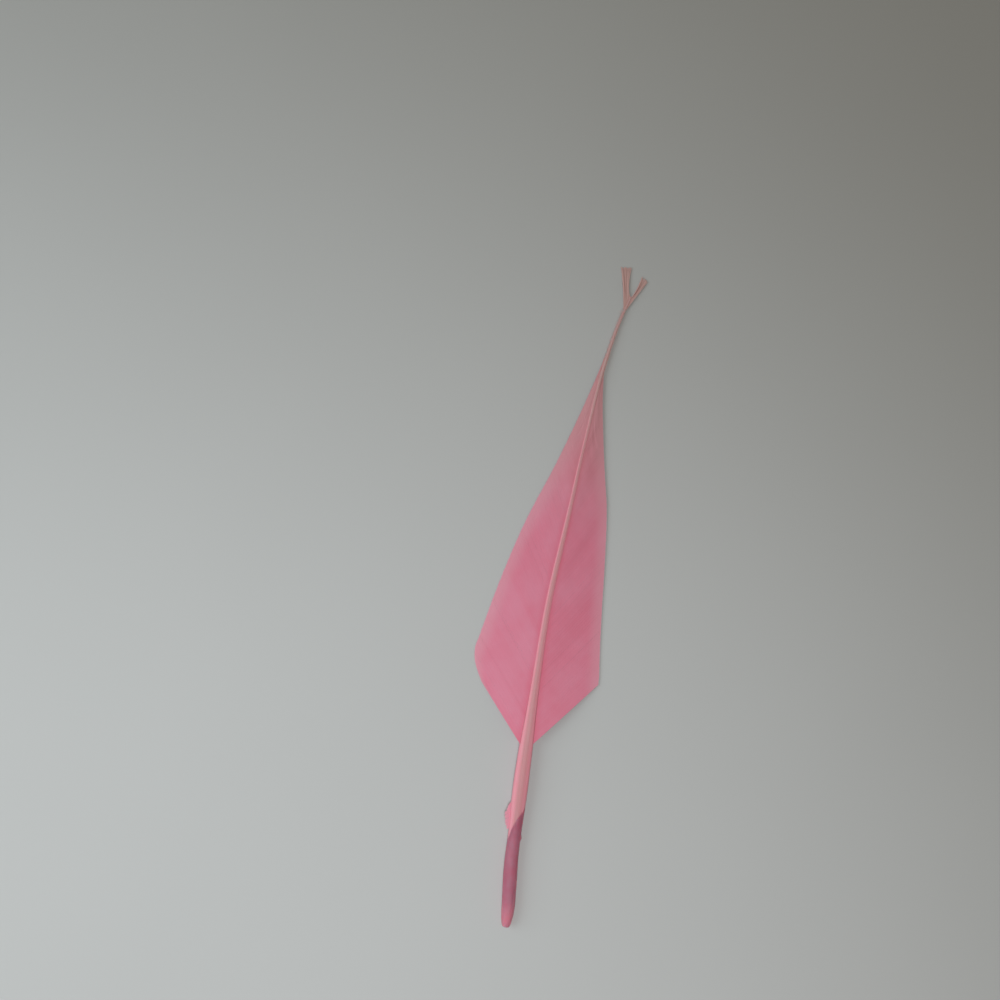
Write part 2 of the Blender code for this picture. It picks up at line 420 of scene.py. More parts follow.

# %% [markdown]
# ## The finish of barbs
#
# A barb is a flat blade of keratin with a nearly matt surface. The colour is deeper beside the
# shaft, dye settles deepest on the thick ridges, and it grows weaker towards the tip. The outer
# part of a vane is paler, and its scissor-cut ends carry a painted highlight. The web is thin
# enough for light to come through, so a little Translucent shader is mixed in. The vanes and the
# tuft share this finish with their own colours.

# %% Barb material
BARB_PATCH = 0.014
# How far from the shaft the colour deepens, how far the paler outer part reaches, and how far the painted
# highlight at the cut reaches.
SHAFT_DEEPENING_REACH, PALE_REACH, CUT_REACH = 0.0032, 0.0068, 0.0004  # metres along the barb
RIDGE_CORE, RIDGE_FOOT = 0.00004, 0.00012  # metres from the middle of the ridge
DYE_THINS_FROM, DYE_THINS_TO = 0.115, 0.170
BARBULE_PITCH = 0.00007


def barb_material(name, light, deep, pale, faded, roughness, translucency):
    """Dyed keratin: patches, barb tones and a deeper tone by the shaft; a painted highlight at the cut."""
    made, tree, result = new_material(name)
    patches = uneven_dye(tree, BARB_PATCH)
    # The colour deepens within a few millimetres of the shaft.
    deeper_by_shaft = remap(tree, attribute(tree, "from_shaft"), 0.0, SHAFT_DEEPENING_REACH, 1.0, 0.0)
    ridge = maths(tree, "ABSOLUTE", attribute(tree, "from_ridge"))
    ridge = remap(tree, ridge, RIDGE_CORE, RIDGE_FOOT, 1.0, 0.0)
    share = maths(tree, "MULTIPLY_ADD", patches, 0.30, 0.02)
    share = maths(tree, "MULTIPLY_ADD", attribute(tree, "tone"), 0.30, share)
    share = maths(tree, "MULTIPLY_ADD", deeper_by_shaft, 0.38, share)
    share = maths(tree, "MULTIPLY_ADD", ridge, 0.10, share)
    colour = blend_colours(tree, share, light, deep)
    paler = remap(tree, attribute(tree, "to_edge"), CUT_REACH, PALE_REACH, 0.58, 0.0)
    # Painted highlight: the last fraction of a millimetre of each cut end is lightened towards the pale
    # colour.
    cut = remap(tree, attribute(tree, "to_edge"), 0.00005, CUT_REACH, 0.35, 0.0)
    colour = blend_colours(tree, maths(tree, "ADD", paler, cut), colour, pale)
    thinner = remap(tree, attribute(tree, "along"), DYE_THINS_FROM, DYE_THINS_TO, 0.0, 0.85)
    colour = blend_colours(tree, thinner, colour, faded)
    lines = barbules(tree, BARBULE_PITCH)
    colour = blend_colours(tree, maths(tree, "MULTIPLY", lines, 0.06), colour, deep)
    bump = node(tree, "ShaderNodeBump", {"Height": lines, "Strength": 0.25, "Distance": 0.00001})
    surface = {
        "Base Color": colour,
        "Roughness": maths(tree, "MULTIPLY_ADD", patches, 0.10, roughness),
        "Normal": bump.outputs[0],
        "Sheen Weight": 0.08,
        "Sheen Roughness": 0.45,
        "Specular IOR Level": 0.35,
        "IOR": 1.5,
    }
    shader = node(tree, "ShaderNodeBsdfPrincipled", surface)
    through = node(tree, "ShaderNodeBsdfTranslucent", {"Color": colour})
    both = {0: translucency, 1: shader.outputs[0], 2: through.outputs[0]}
    mixed = node(tree, "ShaderNodeMixShader", both)
    tree.links.new(mixed.outputs[0], result.inputs["Surface"])
    return made


print("barbules lie", round(1000 * BARBULE_PITCH, 2), "mm apart")

# %% The finish of the vanes and of the tuft
VANE_LIGHT, VANE_DEEP, VANE_PALE = (0.92, 0.345, 0.475), (0.89, 0.22, 0.325), (0.90, 0.46, 0.55)
TUFT_LIGHT, TUFT_DEEP, TUFT_PALE = (0.82, 0.54, 0.50), (0.80, 0.44, 0.42), (0.84, 0.64, 0.58)
FADED_ROSE = (0.76, 0.395, 0.40)
vane_finish = barb_material("dyed vane", VANE_LIGHT, VANE_DEEP, VANE_PALE, FADED_ROSE, 0.60, 0.26)
tuft_finish = barb_material("dyed tuft", TUFT_LIGHT, TUFT_DEEP, TUFT_PALE, TUFT_LIGHT, 0.65, 0.30)
print("barb finishes:", vane_finish.name, "and", tuft_finish.name)

# %% [markdown]
# ## The finish of the shaft
#
# The lower quill, the calamus, is an empty tube of horn: satin, cloudy and a little see-through,
# and it takes the dye strongly. It is lighter towards its closed end. Above it the same tube is
# filled with white pith, which makes the shaft opaque and pale, with pinker sides where the horn
# is thick, and the dye fades towards the tip. The pith ends in a slanted tongue. Two Principled
# shaders, one for bare horn and one for horn over pith, are mixed by an attribute that the mesh
# carries, so the border can have the tongue's own shape.

# %% Shaft colours and scales
HORN_LIGHT, HORN_DEEP, HORN_END = (0.97, 0.215, 0.31), (0.95, 0.135, 0.22), (0.97, 0.33, 0.42)
PITH_CREAM, PITH_SIDE, PITH_DEEP = (0.56, 0.235, 0.25), (0.87, 0.34, 0.41), (0.82, 0.25, 0.32)
TIP_ROSE = (0.57, 0.355, 0.335)
HORN_CLOUD, SHAFT_PATCH = 0.0045, 0.016
GRAIN_STRETCH = (9, 9, 60)  # per unit of the turn's cosine and sine, and per metre along
END_LIGHTER_FROM, END_LIGHTER_TO = 0.001, 0.010
SHAFT_FADES_FROM, SHAFT_FADES_TO = 0.140, 0.175
HORN_DEPTH, PITH_DEPTH = (0.0040, 0.0020, 0.0022), (0.0012, 0.0005, 0.0005)  # metres light goes in
print("red goes", round(HORN_DEPTH[0] / HORN_DEPTH[1], 1), "times as deep into horn as green")


# %% Shaft material
def shaft_material():
    """Horn below and horn over pith above, both with fine grain along the shaft."""
    made, tree, result = new_material("quill horn")
    turn = attribute(tree, "turn_x"), attribute(tree, "turn_y"), attribute(tree, "along")
    grain_place = node(tree, "ShaderNodeCombineXYZ", dict(enumerate(turn))).outputs[0]
    stretched = node(tree, "ShaderNodeMapping", {"Vector": grain_place, "Scale": GRAIN_STRETCH})
    grain_inputs = {"Vector": stretched.outputs[0], "Scale": 1.0, "Detail": 4.0}
    grain = node(tree, "ShaderNodeTexNoise", grain_inputs)
    fibres = remap(tree, grain.outputs[0], 0.35, 0.65)
    clouds = uneven_dye(tree, HORN_CLOUD)
    patches = uneven_dye(tree, SHAFT_PATCH)
    bump_inputs = {"Height": fibres, "Strength": 0.35, "Distance": 0.00004}
    bump = node(tree, "ShaderNodeBump", bump_inputs).outputs[0]

    share = maths(tree, "MULTIPLY_ADD", clouds, 0.55, maths(tree, "MULTIPLY", patches, 0.3))
    horn_colour = blend_colours(tree, share, HORN_LIGHT, HORN_DEEP)
    # Lighter towards the closed end of the quill.
    lighter_end = remap(tree, attribute(tree, "along"), END_LIGHTER_FROM, END_LIGHTER_TO, 0.6, 0.0)
    horn_colour = blend_colours(tree, lighter_end, horn_colour, HORN_END)
    horn = {
        "Base Color": horn_colour,
        "Roughness": maths(tree, "MULTIPLY_ADD", fibres, 0.14, 0.50),
        "Normal": bump,
        "Subsurface Weight": 1.0,
        "Subsurface Radius": HORN_DEPTH,
        "Subsurface Scale": 1.0,
        "Transmission Weight": 0.30,
        "IOR": 1.54,
        "Coat Weight": 0.06,
        "Coat Roughness": 0.3,
    }
    side_share = maths(tree, "MULTIPLY", fibres, 0.45)
    sides = blend_colours(tree, side_share, PITH_SIDE, PITH_DEEP)
    top = blend_colours(tree, maths(tree, "MULTIPLY", fibres, 0.22), PITH_CREAM, PITH_SIDE)
    pith_colour = blend_colours(tree, attribute(tree, "dorsal"), sides, top)
    faded = remap(tree, attribute(tree, "along"), SHAFT_FADES_FROM, SHAFT_FADES_TO, 0.0, 0.9)
    pith_colour = blend_colours(tree, faded, pith_colour, TIP_ROSE)
    over_pith = {
        "Base Color": pith_colour,
        "Roughness": maths(tree, "MULTIPLY_ADD", fibres, 0.14, 0.48),
        "Normal": bump,
        "Subsurface Weight": 0.15,
        "Subsurface Radius": PITH_DEPTH,
        "Subsurface Scale": 1.0,
        "Coat Weight": 0.06,
        "Coat Roughness": 0.35,
    }
    shaders = [node(tree, "ShaderNodeBsdfPrincipled", look).outputs[0] for look in (horn, over_pith)]
    both = {0: attribute(tree, "pith"), 1: shaders[0], 2: shaders[1]}
    mixed = node(tree, "ShaderNodeMixShader", both)
    tree.links.new(mixed.outputs[0], result.inputs["Surface"])
    return made


shaft_finish = shaft_material()
print("shaft finish:", shaft_finish.name)

# %% [markdown]
# ## The outside of the shaft
#
# In cross-section the calamus is round. The rachis above it is nearly square below, with a groove
# along its underside, and rounder on its back. On both sides runs the line where the barbs grow.
# Below the vanes they were torn off, which left that line rough, with a small nub where they
# began. Sculpting could add all this by hand. Here the surface is one function of the turn around
# the shaft and the distance along it, so each feature is one readable term.

# %% The outer surface of the shaft
RACHIS_START, RACHIS_FULL = 0.034, 0.060
RACHIS_SQUARENESS, BACK_SQUARENESS = 1.1, 0.3
GROOVE_DEPTH, GROOVE_WIDTH = 0.16, 0.20  # shares of the shaft's height and width
DIMPLE_AT, DIMPLE_LENGTH, DIMPLE_WIDTH, DIMPLE_DEPTH = 0.0375, 0.0016, 0.0006, 0.00035
BARB_ROOT_HEIGHT = 0.28  # share of the shaft's height above its axis
STRIPPED_FROM, STRIPPED_FULL, STRIPPED_FADES, STRIPPED_TO = 0.027, 0.034, 0.050, 0.0572
BARB_LINE_HEIGHT, TORN_LINE_HEIGHT, LINE_SPREAD = 0.000025, 0.000085, 0.14
TORN_STEP = 0.00045  # the torn line is rough at this scale
NUB_AT, NUB_LENGTH, NUB_HEIGHT = 0.0270, 0.0007, 0.00032
NUB_MIDDLE, NUB_SPREAD = 0.15, 0.35  # sine of the turn


def gauss(at, width):
    """A bell of height 1 around 0."""
    return np.exp(-((at / width) ** 2))


def shaft_skin(along, turn):
    """A superellipse with a groove below, a ridge on each side, a dimple and uneven swelling.

    The superellipse raises the cosine and the sine of the turn to a power between 1, which is
    round, and 2 / 3.1, which is nearly square. The back is rounder than the underside.
    """
    rachis = ease(RACHIS_START, RACHIS_FULL, along)
    half_width, half_height = shaft_width(along) / 2, shaft_height(along) / 2
    cosine, sine = np.cos(turn), np.sin(turn)
    power = 2 / (2 + np.where(sine > 0, BACK_SQUARENESS, RACHIS_SQUARENESS) * rachis)
    aside = np.sign(cosine) * np.abs(cosine) ** power
    upward = np.sign(sine) * np.abs(sine) ** power
    swelling = 1 + 0.012 * wander(along, 0.007, 3) + 0.006 * wander(along + 0.004 * cosine, 0.002, 4)
    across, height = half_width * aside * swelling, half_height * upward * swelling

    below = np.where(sine < 0, 1.0, 0.0)
    height = height + below * GROOVE_DEPTH * rachis * 2 * half_height * gauss(aside, 2 * GROOVE_WIDTH)
    dimple = gauss(along - DIMPLE_AT, DIMPLE_LENGTH) * gauss(across, DIMPLE_WIDTH)
    height = height + below * DIMPLE_DEPTH * dimple

    ridge = gauss(sine - 2 * BARB_ROOT_HEIGHT, LINE_SPREAD)
    stripped = ease(STRIPPED_FROM, STRIPPED_FULL, along) * (1 - ease(STRIPPED_FADES, STRIPPED_TO, along))
    rough = 0.55 + 0.45 * wander(along + 0.01 * (cosine > 0), TORN_STEP, 5)
    ridge_height = (BARB_LINE_HEIGHT * rachis + TORN_LINE_HEIGHT * stripped * rough) * ridge
    nub = NUB_HEIGHT * gauss(along - NUB_AT, NUB_LENGTH) * (cosine > 0)
    ridge_height = ridge_height + nub * gauss(sine - NUB_MIDDLE, NUB_SPREAD)
    return across + np.sign(cosine) * ridge_height, height


back_height = shaft_skin(0.1, np.pi / 2)[1]
print("100 mm from the end the back is", round(1000 * float(back_height), 2), "mm above the axis")

# %% [markdown]
# ## The hollow and the ring of points
#
# The calamus is empty inside. The ring of points is carried from the tip down the outside, round
# the rim of the small hole at the end and up the inside of the hollow, so that the horn is a real
# wall and not a skin. The rings are close together where the shape changes quickly.

# %% The hollow inside the calamus
HOLE_RADIUS, BORE_WALL, BORE_END = 0.00042, 0.00042, 0.036


def bore_radius(along):
    """The hollow: a small hole at the end, full width behind it, a dome at its top."""
    full = shaft_width(along) / 2 - BORE_WALL
    inside = ease(BORE_WALL, END_ROUNDING, along)
    left = np.clip((BORE_END - along) / (2 * full), 0.02, 1)
    return HOLE_RADIUS + (full - HOLE_RADIUS) * inside * np.sqrt(1 - (1 - left) ** 2)


print("the hollow is", round(2000 * float(bore_radius(0.020)), 1), "mm wide at 20 mm")

# %% The shaft's points, outside and inside
SHAFT_SIDES = 60
RING_STRETCHES = ((SHAFT_LENGTH, 0.060, 260), (0.060, 0.022, 190), (0.022, 0.007, 30))
LAST_STRETCH, LAST_RINGS, LAST_CROWDING = 0.007, 36, 1.7  # the rings crowd towards the end
BORE_RINGS = 44
stretches = [np.linspace(*stretch, endpoint=False) for stretch in RING_STRETCHES]
stretches.append(LAST_STRETCH * np.linspace(1, 0, LAST_RINGS) ** LAST_CROWDING)
outer = np.concatenate(stretches)
inner = BORE_END * (0.5 - 0.5 * np.cos(np.pi * np.linspace(0.02, 1, BORE_RINGS)))
turn = np.linspace(0, 2 * np.pi, SHAFT_SIDES, endpoint=False)
outer_across, outer_height = shaft_skin(outer[:, None], turn)
inner_across = bore_radius(inner)[:, None] * np.cos(turn)
inner_height = SHAFT_FLATTENING * bore_radius(inner)[:, None] * np.sin(turn)
along = np.concatenate((outer, inner))[:, None]
aside = np.concatenate((outer_across, inner_across))
upward = np.concatenate((outer_height, inner_height))
shaft_points = place(smooth(SHAFT_BOW, along) + aside, along, smooth(SHAFT_ARCH, along) + upward)
print("rings outside and inside:", len(outer), "and", len(inner))

# %% [markdown]
# ## Where the pith lies, and the finished shaft
#
# The pith reaches further down on the left than on the right, so its border is written as a
# function of the turn, with a little wandering. The border, the pale back and the place in the
# grain are stored as attributes, because the material could not find them from position alone on
# a shaft that bows and arches.

# %% The shaft's attributes, then the piece
PITH_FROM, PITH_SLANT, TONGUE_LENGTH, TONGUE_WIDTH = 0.0322, 0.0042, 0.0020, 0.3
PITH_BLUR = 0.0004  # half the length over which horn turns into horn over pith
border = PITH_FROM + PITH_SLANT * np.cos(turn) - TONGUE_LENGTH * gauss(np.cos(turn) + 1, TONGUE_WIDTH)
border = border + 0.0005 * wander(turn, 0.4, 8) + 0.0002 * wander(turn, 0.15, 9)
pith = ease(-PITH_BLUR, PITH_BLUR, along - border)
pith[len(outer):] = 0
back = (upward > 0) * (1 - ease(0.2, 0.8, np.abs(aside) / (shaft_width(along) / 2)))
shaft_attributes = {
    "pith": pith[None],
    "dorsal": back[None],
    "turn_x": np.cos(turn),
    "turn_y": np.sin(turn),
    "along": along[None],
}
shaft = tube_piece("quill_shaft", shaft_points[None], shaft_attributes)
shaft.data.materials.append(shaft_finish)
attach(shaft, "root")
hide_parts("shaft")

# %% [markdown]
# ## A web of barbs
#
# A vane is a sheet of barbs that lie side by side. Each barb is a blade with a thick ridge, whose
# keel stands out below, and a thin web of barbules on both sides. The web on the tip's side lies
# over the next barb's web like a roof tile. So a barb is a small cross-section carried along a
# line, and the lines come from a sheet: a function of the row, from the lowest barb to the
# last, and of out, from the shaft to the trimmed edge. The direction to the same place on the
# next barb tells how wide the web has to be. It also slants each section so that all roots meet
# the shaft and all ends lie on one clean cut. Hair curves would be quicker to grow, but they are
# round strands, and neither hook together nor hold a cut edge.

# %% The cross-section of a barb
BARB_SECTION = np.array(  # share of the spacing, distance aside and height of each corner
    (
        (0.60, 0.0, 0.000012),
        (0.0, 0.00007, 0.000028),
        (0.0, 0.0, 0.000040),
        (0.0, -0.00007, 0.000026),
        (-0.58, 0.0, -0.000016),
        (-0.58, 0.0, -0.000036),
        (0.0, -0.00006, -0.000032),
        (0.0, 0.0, -0.00026),
        (0.0, 0.00006, -0.000022),
        (0.60, 0.0, -0.000010),
    )
)
KEEL = 7  # the corner that is the keel
print("the keel stands out by", -1e6 * BARB_SECTION[KEEL, 2], "thousandths of a millimetre")

# %% Barbs carried along a sheet
ROW_NUDGE = 1e-4  # the step in row that measures the way to the next barb
ROW_JITTER, TILT_JITTER = 0.12, 0.05  # share of the spacing, and slope
TONE_WAVE, TONE_JITTER, TONE_BARBS = 0.28, 0.22, 9  # the slow wave is 9 barbs long


def along_barb(steps):
    """Places from 0 at the root to 1 at the cut, closer together at both ends."""
    t = np.linspace(0, 1, steps)
    return 0.4 * t + 0.6 * (0.5 - 0.5 * np.cos(np.pi * t))


def barb_web(name, sheet, count, steps, seed, web=(1.0, 1.0), keel=(1.0, 0.3), cut_jitter=0.00004):
    """Barbs with the section above, their middles on the sheet at evenly spaced rows.

    Corner = middle + (share x spacing + distance aside) x side + height x up, where side is the
    step to the next barb divided by its part at right angles to the barb, which is the spacing.
    """
    random = np.random.default_rng(seed)
    even = np.arange(count) / (count - 1)
    row = (even + random.uniform(-ROW_JITTER, ROW_JITTER, count) / (count - 1))[:, None]
    out = along_barb(steps)[None]
    middle = sheet(row, out)
    run = np.gradient(middle, axis=1)
    run /= np.linalg.norm(run, axis=-1, keepdims=True)
    step = (sheet(row + ROW_NUDGE, out) - sheet(row - ROW_NUDGE, out)) / (2 * ROW_NUDGE * (count - 1))
    square = step - (step * run).sum(axis=-1, keepdims=True) * run
    spacing = np.linalg.norm(square, axis=-1, keepdims=True)
    up = np.cross(run, square / spacing)
    up *= np.sign(up[..., 2:])

    lengths = np.linalg.norm(np.diff(middle, axis=1), axis=-1)
    from_shaft = np.concatenate((np.zeros((count, 1)), np.cumsum(lengths, axis=1)), axis=1)
    shares, asides, heights = BARB_SECTION.T
    shares = shares * (web[0] + (web[1] - web[0]) * out[..., None])
    aside = shares * spacing + asides
    tilt = random.uniform(-TILT_JITTER, TILT_JITTER, (count, 1, 1))
    deep = keel[0] + (keel[1] - keel[0]) * out[..., None]
    height = np.where(np.arange(len(heights)) == KEEL, heights * deep, heights) + tilt * aside
    cut = random.normal(0, cut_jitter, (count, 1, 1)) * out[..., None] ** 6
    points = (
        middle[:, :, None]
        + (step / spacing)[:, :, None] * aside[..., None]
        + up[:, :, None] * height[..., None]
        + run[:, :, None] * cut[..., None]
    )
    tone = 0.5 + TONE_WAVE * wander(even, TONE_BARBS / count, seed)
    tone = tone + TONE_JITTER * random.uniform(-1, 1, count)
    print("  barbs", count, "with spacing, mm:", round(1000 * float(np.median(spacing)), 2))
    attributes = {
        "from_shaft": from_shaft[..., None],
        "from_ridge": aside,
        "to_edge": (from_shaft[:, -1:] - from_shaft)[..., None],
        "along": (middle[..., 1] - ORIGIN[1])[..., None],
        "tone": tone[:, None, None],
    }
    return tube_piece(name, points, attributes)


print("steps along a barb, as shares of it:", along_barb(5).round(2))

# %% [markdown]
# ## The two vanes
#
# The vanes were trimmed with scissors to a long point, so their outer edges are clean lines,
# while their lower edges are simply the lowest barbs. A barb starts at the shaft's side, leaves it
# at an angle that gets narrower towards the tip, and runs until it meets the trimmed edge. Where
# that happens is found by halving the span between a place that is inside and one that is not.
# From the shaft the sheet curves down to the surface that the feather lies on.

# %% The outlines of the vanes
LEFT_VANE = {
    "side": -1,
    "first_root": 0.0552,
    "last_root": 0.1735,
    "barb_angle": (43.5, 20.0),
    "edge": (
        (0.0600, -0.0150),
        (0.0706, -0.0214),
        (0.0758, -0.0243),
        (0.0803, -0.0253),
        (0.0835, -0.0248),
        (0.0964, -0.0228),
        (0.1210, -0.0177),
        (0.1400, -0.0120),
        (0.1530, -0.0086),
        (0.1670, -0.0054),
        (0.1760, -0.0036),
    ),
}
RIGHT_VANE = {
    "side": 1,
    "first_root": 0.0560,
    "last_root": 0.1680,
    "barb_angle": (37.5, 18.0),
    "edge": (
        (0.0560, 0.0142),
        (0.0768, 0.0133),
        (0.0785, 0.0131),
        (0.0864, 0.0118),
        (0.1000, 0.0098),
        (0.1153, 0.0077),
        (0.1300, 0.0052),
        (0.1400, 0.0026),
        (0.1500, 0.0002),
        (0.1600, -0.0020),
        (0.1700, -0.0036),
    ),
}
for vane in (LEFT_VANE, RIGHT_VANE):
    print("barbs grow along", round(1000 * (vane["last_root"] - vane["first_root"])), "mm of the shaft")

# %% The sheets of the vanes
CAMBER_POWER = 1.25
EDGE_REST, EDGE_LIFT, WIDEST_AT = 0.0005, 0.0009, 0.079
ROOT_INSIDE = 0.00010  # how far a barb's root reaches into the shaft
LONGEST_BARB, HALVINGS = 0.05, 40
RIPPLE_HEIGHT = 0.00012


def barb_length(vane, root_across, root_along, angle):
    """How far each barb runs from its root to the trimmed edge, by halving the span it ends in."""
    near, far = np.zeros_like(root_along), np.full_like(root_along, LONGEST_BARB)
    for _ in range(HALVINGS):
        middle = (near + far) / 2
        across = root_across + vane["side"] * middle * np.sin(angle)
        beyond = vane["side"] * (across - smooth(vane["edge"], root_along + middle * np.cos(angle))) > 0
        near, far = np.where(beyond, near, middle), np.where(beyond, middle, far)
    return near


def vane_sheet(vane, row, out):
    """Middle = root + out x length along the barb; height falls from root to edge as a power."""
    root_along = vane["first_root"] + (vane["last_root"] - vane["first_root"]) * row
    root_across = smooth(SHAFT_BOW, root_along) + vane["side"] * (shaft_width(root_along) / 2 - ROOT_INSIDE)
    first, last = vane["barb_angle"]
    angle = np.radians(first + (last - first) * row)
    reach = out * barb_length(vane, root_across, root_along, angle)
    along = root_along + reach * np.cos(angle)
    across = root_across + vane["side"] * reach * np.sin(angle)
    root_height = smooth(SHAFT_ARCH, root_along) + BARB_ROOT_HEIGHT * shaft_height(root_along)
    lift = EDGE_LIFT * ((along - WIDEST_AT) / (SHAFT_LENGTH - WIDEST_AT)) ** 2
    edge_height = np.minimum(EDGE_REST + lift, root_height)
    height = root_height + (edge_height - root_height) * out**CAMBER_POWER
    ripple = wander(row, 0.06, 21) + 0.5 * wander(row + 0.3 * out, 0.023, 22)
    height = height + RIPPLE_HEIGHT * ripple * np.sin(np.pi * out) ** 2
    return place(across, along, height)


corner = vane_sheet(LEFT_VANE, np.zeros(1), np.ones(1))[0]
print("the lowest barb of the left vane ends at, mm:", (1000 * (corner - ORIGIN)).round(1))

# %% The left and the right vane
BARB_SPACING, BARB_STEPS = 0.00047, 24  # metres along the shaft, and rings of points in a barb
for name, vane, replaced, seed in (
    ("left_vane_barbs", LEFT_VANE, "vane_left", 31),
    ("right_vane_barbs", RIGHT_VANE, "vane_right", 32),
):
    count = round((vane["last_root"] - vane["first_root"]) / BARB_SPACING)
    piece = barb_web(name, partial(vane_sheet, vane), count, BARB_STEPS, seed)
    piece.data.materials.append(vane_finish)
    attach(piece, "root")
    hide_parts(replaced)

# %% [markdown]
# ## The torn sliver
#
# Below the vane a torn sliver of the left vane's base still clings to the shaft. It is a row of
# very short barbs, so it is made as a small web whose length changes along the shaft.

# %% The torn sliver
REMNANT_WIDTHS = (
    (0.0298, 0.0004),
    (0.0315, 0.0010),
    (0.0332, 0.0014),
    (0.0352, 0.0012),
    (0.0375, 0.0004),
)
REMNANT_HEIGHT = 0.10  # share of the shaft's height above its axis
REMNANT_LEAN, REMNANT_BULGE = 0.0008, 0.0002
REMNANT_BARBS, REMNANT_STEPS = 26, 7


def remnant_sheet(row, out):
    """A flap from the shaft's side: its width follows the points above and its edge is ragged."""
    first, last = REMNANT_WIDTHS[0][0], REMNANT_WIDTHS[-1][0]
    along = first + (last - first) * row
    ragged = 1 + 0.25 * wander(row, 0.06, 41) + 0.12 * wander(row, 0.025, 42)
    width = smooth(REMNANT_WIDTHS, along) * ragged
    root = smooth(SHAFT_BOW, along) - shaft_width(along) / 2 + ROOT_INSIDE
    height = smooth(SHAFT_ARCH, along) + REMNANT_HEIGHT * shaft_height(along)
    height = height + REMNANT_BULGE * out * (1 - out)
    return place(root - out * width, along - REMNANT_LEAN * out, height)


remnant = barb_web("torn_sliver", remnant_sheet, REMNANT_BARBS, REMNANT_STEPS, 43, keel=(0.5, 0.2))
remnant.data.materials.append(vane_finish)
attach(remnant, "root")
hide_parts("vane_remnant")

# %% [markdown]
# ## Stubs
#
# Towards the tip the barbs were cut off close to the rachis, which leaves short stubs. They stand
# apart, so they have no web: each is a single strand, a thin ring carried along a bent line.

# %% Thin strands
STRAND_SIDES, STRAND_TAPER, STRAND_FLATNESS = 6, 0.6, 0.7


def strands(name, roots, tips, bend, radius, steps, seed):
    """Tapered tubes: middle = root + t (tip - root) + 4 t (1 - t) bend, with radius at the root."""
    random = np.random.default_rng(seed)
    t = np.linspace(0, 1, steps)[None, :, None]
    middle = roots[:, None] + t * (tips - roots)[:, None] + 4 * t * (1 - t) * bend[:, None]
    run = np.gradient(middle, axis=1)
    run /= np.linalg.norm(run, axis=-1, keepdims=True)
    side = np.cross(run, (0, 0, 1.0))
    side /= np.linalg.norm(side, axis=-1, keepdims=True)
    up = np.cross(side, run)
    around = np.linspace(0, 2 * np.pi, STRAND_SIDES, endpoint=False)
    thick = (radius * (1 - STRAND_TAPER * t))[..., None]
    upward = STRAND_FLATNESS * np.sin(around)[:, None] * up[:, :, None]
    ring = np.cos(around)[:, None] * side[:, :, None] + upward
    length = np.linalg.norm(tips - roots, axis=-1)[:, None, None]
    attributes = {
        "from_shaft": length * t,
        "from_ridge": 0.0,
        "to_edge": length * (1 - t),
        "along": middle[..., 1:2] - ORIGIN[1],
        "tone": random.uniform(0, 1, (len(roots), 1, 1)),
    }
    return tube_piece(name, middle[:, :, None] + thick * ring, attributes)


print("a strand's tip is", round(1 - STRAND_TAPER, 1), "times as thick as its root")

# %% Stubs on the bare rachis
STUBS_FROM, STUBS_TO, STUB_SPACING = 0.1660, 0.1915, 0.00026
STUB_LENGTH, STUB_RADIUS, STUB_STEPS, STUB_JITTER = 0.0006, 0.00005, 5, 0.0001
STUB_ANGLE, STUB_ANGLE_SPREAD = 20, 12  # degrees away from the rachis
CLUMP_AT, CLUMP_WIDTH, CLUMP_LENGTH = 0.1862, 0.0012, 0.0012  # a clump that was cut less short
random = np.random.default_rng(51)
stub_along = np.tile(np.arange(STUBS_FROM, STUBS_TO, STUB_SPACING), 2)
side = np.repeat((-1.0, 1.0), len(stub_along) // 2)
stub_along = stub_along + random.uniform(-STUB_JITTER, STUB_JITTER, len(stub_along))
clump = CLUMP_LENGTH * gauss(stub_along - CLUMP_AT, CLUMP_WIDTH) * (side < 0)
length = STUB_LENGTH * (1 + random.random(len(side))) + clump * random.random(len(side))
angle = np.radians(STUB_ANGLE + STUB_ANGLE_SPREAD * random.random(len(side)))
root_across = smooth(SHAFT_BOW, stub_along) + side * (shaft_width(stub_along) / 2 - STUB_RADIUS)
root_height = smooth(SHAFT_ARCH, stub_along) + 0.2 * shaft_height(stub_along)
roots = place(root_across, stub_along, root_height)
aim = np.stack((side * np.sin(angle), np.cos(angle), random.normal(0, 0.12, len(side))), axis=-1)
bends = np.stack((-side * 0.12 * length, 0.1 * length, 0.1 * length), axis=-1)
tips = roots + length[:, None] * aim
stubs = strands("barb_stubs", roots, tips, bends, STUB_RADIUS, STUB_STEPS, 52)
stubs.data.materials.append(tuft_finish)
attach(stubs, "root")

# %% [markdown]
# ## The tuft
#
# The last barbs at the tip were left on and cut square, and they part into a little V. Each
# side is again a web, but a loose one: its barbs start close together on the last millimetres of
# the rachis, bend outwards and fan, and their webs no longer meet at the ends.

# %% The sheets of the two plumes
PLUME_ROOTS_FROM, PLUME_ROOTS_LENGTH = 0.1885, 0.0042
PLUME_SPREAD, PLUME_RAGGED = 0.0009, 0.0002
PLUME_REST, PLUME_ARCH = 0.00028, 0.0002  # height of the cut ends, and of the bulge before them
LEFT_PLUME = {"side": -1, "turned": (-0.0021, 0.1955), "tips": ((-0.0044, 0.2013), (-0.0014, 0.2014))}
RIGHT_PLUME = {"side": 1, "turned": (0.0020, 0.1950), "tips": ((0.0023, 0.1994), (0.0042, 0.1984))}


